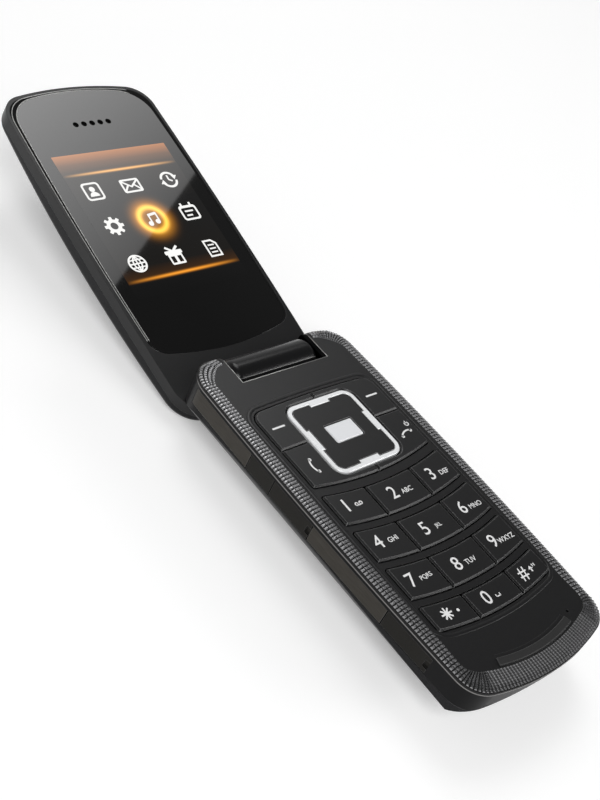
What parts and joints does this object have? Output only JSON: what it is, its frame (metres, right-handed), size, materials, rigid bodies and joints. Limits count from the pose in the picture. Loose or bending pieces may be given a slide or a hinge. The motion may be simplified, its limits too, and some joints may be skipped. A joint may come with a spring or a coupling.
{
  "type": "flip phone",
  "caption": "Black clamshell mobile phone, opened flat on its back, with arched key rows, a white-ringed navigation key and a lit colour display.",
  "frame": {"origin": "middle of the base's flat back, which is the face it rests on", "axes": "+X to the right across the keypad, +Y along the base from the microphone end towards the hinge, +Z out of the keypad"},
  "size_m": [0.0478, 0.1872, 0.0264],
  "materials": {
    "soft_touch_black": "satin soft-touch",
    "key_black": "satin",
    "grip_black": "knurled, semi-gloss",
    "strip_grey": "satin",
    "cover_dark": "matte",
    "back_black": "fine texture",
    "lens_black": "polished",
    "clear_window": "polished",
    "screen": "lit display",
    "ring_white": "gloss",
    "ok_silver": "satin",
    "rubber_black": "matte",
    "mat_grey": "translucent silicone",
    "board_green": "solder mask",
    "steel": "satin",
    "gold_contacts": "plated",
    "battery_grey": "matte",
    "antenna_cream": "matte",
    "part_black": "matte"
  },
  "bodies": {
    "base": {"grip_band": "grip_black", "left_strip_upper": "strip_grey", "left_strip_lower": "strip_grey", "right_strip": "strip_grey", "front_housing": "soft_touch_black", "rest_strip": "rubber_black", "keymat": "mat_grey", "dome_sheet": "steel", "main_board": "board_green", "rear_housing": "back_black", "battery": "battery_grey", "battery_contacts": "gold_contacts", "shield_can": "steel", "sim_holder": "steel", "loudspeaker": "part_black", "microphone": "steel", "vibration_motor": "steel", "antenna": "antenna_cream", "usb_connector": "steel", "headset_jack": "part_black", "side_switch": "part_black", "housing_screws": "steel", "hinge_cam": "steel", "hinge_pin": "steel"},
    "lid": {"lid_front": "soft_touch_black", "lid_rear": "back_black", "display_lens": "lens_black", "display_gasket": "rubber_black", "display_module": "screen", "earpiece": "part_black", "earpiece_mesh": "steel", "lid_board": "board_green", "lid_magnet": "steel", "camera_module": "part_black", "camera_window": "clear_window", "hinge_cartridge": "steel"},
    "key_1_body": {"key_1": "key_black"},
    "key_2_body": {"key_2": "key_black"},
    "key_3_body": {"key_3": "key_black"},
    "key_4_body": {"key_4": "key_black"},
    "key_5_body": {"key_5": "key_black"},
    "key_6_body": {"key_6": "key_black"},
    "key_7_body": {"key_7": "key_black"},
    "key_8_body": {"key_8": "key_black"},
    "key_9_body": {"key_9": "key_black"},
    "key_star_body": {"key_star": "key_black"},
    "key_0_body": {"key_0": "key_black"},
    "key_hash_body": {"key_hash": "key_black"},
    "soft_key_left_body": {"soft_key_left": "key_black"},
    "soft_key_right_body": {"soft_key_right": "key_black"},
    "call_key_body": {"call_key": "key_black"},
    "end_key_body": {"end_key": "key_black"},
    "ok_key_body": {"ok_key": "ok_silver"},
    "nav_rocker": {"nav_actuator": "part_black"},
    "nav_key": {"nav_plate": "key_black", "nav_ring": "ring_white"},
    "side_key_body": {"side_key": "cover_dark"},
    "port_cover_body": {"port_cover": "cover_dark"},
    "headset_cover_body": {"headset_cover": "cover_dark"},
    "battery_cover_body": {"battery_cover": "back_black"}
  },
  "joints": [
    {"name": "lid_hinge", "type": "hinge", "parent": "base", "child": "lid", "pos_m": [0, 0.0451, 0.0058], "axis": [1, 0, 0], "range_deg": [0, 167.3]},
    {"name": "key_1_press", "type": "slide", "parent": "base", "child": "key_1_body", "axis": [0, 0, -1], "range_m": [0, 0.0003], "stiffness_N_per_m": 2000},
    {"name": "key_2_press", "type": "slide", "parent": "base", "child": "key_2_body", "axis": [0, 0, -1], "range_m": [0, 0.0003], "stiffness_N_per_m": 2000},
    {"name": "key_3_press", "type": "slide", "parent": "base", "child": "key_3_body", "axis": [0, 0, -1], "range_m": [0, 0.0003], "stiffness_N_per_m": 2000},
    {"name": "key_4_press", "type": "slide", "parent": "base", "child": "key_4_body", "axis": [0, 0, -1], "range_m": [0, 0.0003], "stiffness_N_per_m": 2000},
    {"name": "key_5_press", "type": "slide", "parent": "base", "child": "key_5_body", "axis": [0, 0, -1], "range_m": [0, 0.0003], "stiffness_N_per_m": 2000},
    {"name": "key_6_press", "type": "slide", "parent": "base", "child": "key_6_body", "axis": [0, 0, -1], "range_m": [0, 0.0003], "stiffness_N_per_m": 2000},
    {"name": "key_7_press", "type": "slide", "parent": "base", "child": "key_7_body", "axis": [0, 0, -1], "range_m": [0, 0.0003], "stiffness_N_per_m": 2000},
    {"name": "key_8_press", "type": "slide", "parent": "base", "child": "key_8_body", "axis": [0, 0, -1], "range_m": [0, 0.0003], "stiffness_N_per_m": 2000},
    {"name": "key_9_press", "type": "slide", "parent": "base", "child": "key_9_body", "axis": [0, 0, -1], "range_m": [0, 0.0003], "stiffness_N_per_m": 2000},
    {"name": "key_star_press", "type": "slide", "parent": "base", "child": "key_star_body", "axis": [0, 0, -1], "range_m": [0, 0.0003], "stiffness_N_per_m": 2000},
    {"name": "key_0_press", "type": "slide", "parent": "base", "child": "key_0_body", "axis": [0, 0, -1], "range_m": [0, 0.0003], "stiffness_N_per_m": 2000},
    {"name": "key_hash_press", "type": "slide", "parent": "base", "child": "key_hash_body", "axis": [0, 0, -1], "range_m": [0, 0.0003], "stiffness_N_per_m": 2000},
    {"name": "soft_key_left_press", "type": "slide", "parent": "base", "child": "soft_key_left_body", "axis": [0, 0, -1], "range_m": [0, 0.0003], "stiffness_N_per_m": 2000},
    {"name": "soft_key_right_press", "type": "slide", "parent": "base", "child": "soft_key_right_body", "axis": [0, 0, -1], "range_m": [0, 0.0003], "stiffness_N_per_m": 2000},
    {"name": "call_key_press", "type": "slide", "parent": "base", "child": "call_key_body", "axis": [0, 0, -1], "range_m": [0, 0.0003], "stiffness_N_per_m": 2000},
    {"name": "end_key_press", "type": "slide", "parent": "base", "child": "end_key_body", "axis": [0, 0, -1], "range_m": [0, 0.0003], "stiffness_N_per_m": 2000},
    {"name": "ok_key_press", "type": "slide", "parent": "base", "child": "ok_key_body", "axis": [0, 0, -1], "range_m": [0, 0.0003], "stiffness_N_per_m": 2000},
    {"name": "nav_tilt_up_down", "type": "hinge", "parent": "base", "child": "nav_rocker", "pos_m": [0, 0.0191, 0.0088], "axis": [1, 0, 0], "range_deg": [-0.8, 0.8], "stiffness_Nm_per_rad": 0.4},
    {"name": "nav_tilt_left_right", "type": "hinge", "parent": "nav_rocker", "child": "nav_key", "pos_m": [0, 0.0191, 0.0088], "axis": [0, 1, 0], "range_deg": [-0.8, 0.8], "stiffness_Nm_per_rad": 0.4},
    {"name": "side_key_press", "type": "slide", "parent": "base", "child": "side_key_body", "axis": [1, 0, 0], "range_m": [0, 0.0003], "stiffness_N_per_m": 2000},
    {"name": "port_cover_hinge", "type": "hinge", "parent": "base", "child": "port_cover_body", "pos_m": [-0.02383, 0.01456, 0.0064], "axis": [0, 0, 1], "range_deg": [-100, 0]},
    {"name": "headset_cover_hinge", "type": "hinge", "parent": "base", "child": "headset_cover_body", "pos_m": [-0.02358, -0.02204, 0.0064], "axis": [0, 0, 1], "range_deg": [-100, 0]},
    {"name": "battery_cover_slide", "type": "slide", "parent": "base", "child": "battery_cover_body", "axis": [0, -1, 0], "range_m": [0, 0.006]}
  ]
}
